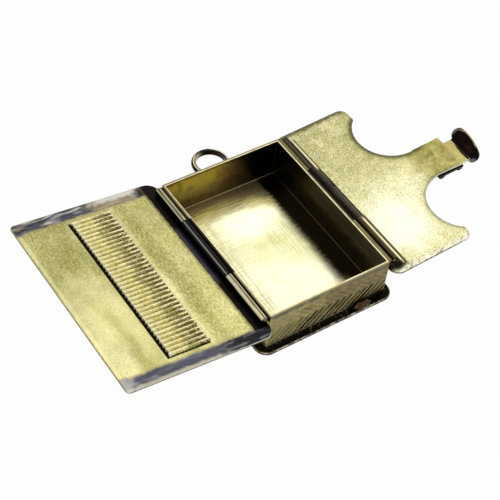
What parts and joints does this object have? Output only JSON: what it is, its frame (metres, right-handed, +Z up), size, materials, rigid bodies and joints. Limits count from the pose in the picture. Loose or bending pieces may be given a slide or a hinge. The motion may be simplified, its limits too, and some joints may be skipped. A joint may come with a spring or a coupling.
{
  "type": "vesta case",
  "caption": "Open brass vesta case: walled match box on a flat base, hinged lid with a ribbed striker, hinged clasp flap with a thumb piece, and a suspension loop.",
  "frame": {"origin": "centre of the base plate's underside", "axes": "+X across the two hinges, from the lid to the flap; +Y along the hinges, towards the suspension loop; +Z up out of the compartment"},
  "size_m": [0.1113, 0.0572, 0.0141],
  "materials": {
    "tarnished_brass": "dark tarnished sheet brass with brighter edges",
    "case_brass": "engraved sheet brass, brushed inside, dark in the corners",
    "loop_brass": "polished half-round wire",
    "hinge_brass": "drawn brass tube, worn bright on its crest",
    "pin_brass": "dull drawn wire",
    "lid_brass": "satin pale brass, mottled, grey along both ends",
    "dark_hinge_brass": "dark tarnished tube with a worn crest",
    "striker_brass": "bright stamped ribs, dark in the grooves",
    "flap_brass": "satin pale brass, mottled, darker at the tongue",
    "black_brass": "blackened brass with worn edges"
  },
  "bodies": {
    "case": {"base_plate": "tarnished_brass", "wall_band": "case_brass", "suspension_loop": "loop_brass", "lid_hinge_far_knuckle": "hinge_brass", "lid_hinge_near_knuckle": "hinge_brass", "lid_hinge_pin": "pin_brass", "flap_hinge_far_knuckle": "hinge_brass", "flap_hinge_near_knuckle": "hinge_brass", "flap_hinge_pin": "pin_brass"},
    "lid": {"lid_plate": "lid_brass", "lid_knuckle": "dark_hinge_brass", "striker_plate": "striker_brass"},
    "flap": {"flap_plate": "flap_brass", "flap_knuckle": "dark_hinge_brass", "tongue_stiffener": "black_brass", "thumb_piece": "black_brass"}
  },
  "joints": [
    {"name": "lid_hinge", "type": "hinge", "parent": "case", "child": "lid", "pos_m": [-0.0175, 0, 0.0106], "axis": [0, 1, 0], "range_deg": [0, 173.75]},
    {"name": "flap_hinge", "type": "hinge", "parent": "case", "child": "flap", "pos_m": [0.01805, 0, 0.0106], "axis": [0, -1, 0], "range_deg": [0, 175.64]}
  ]
}
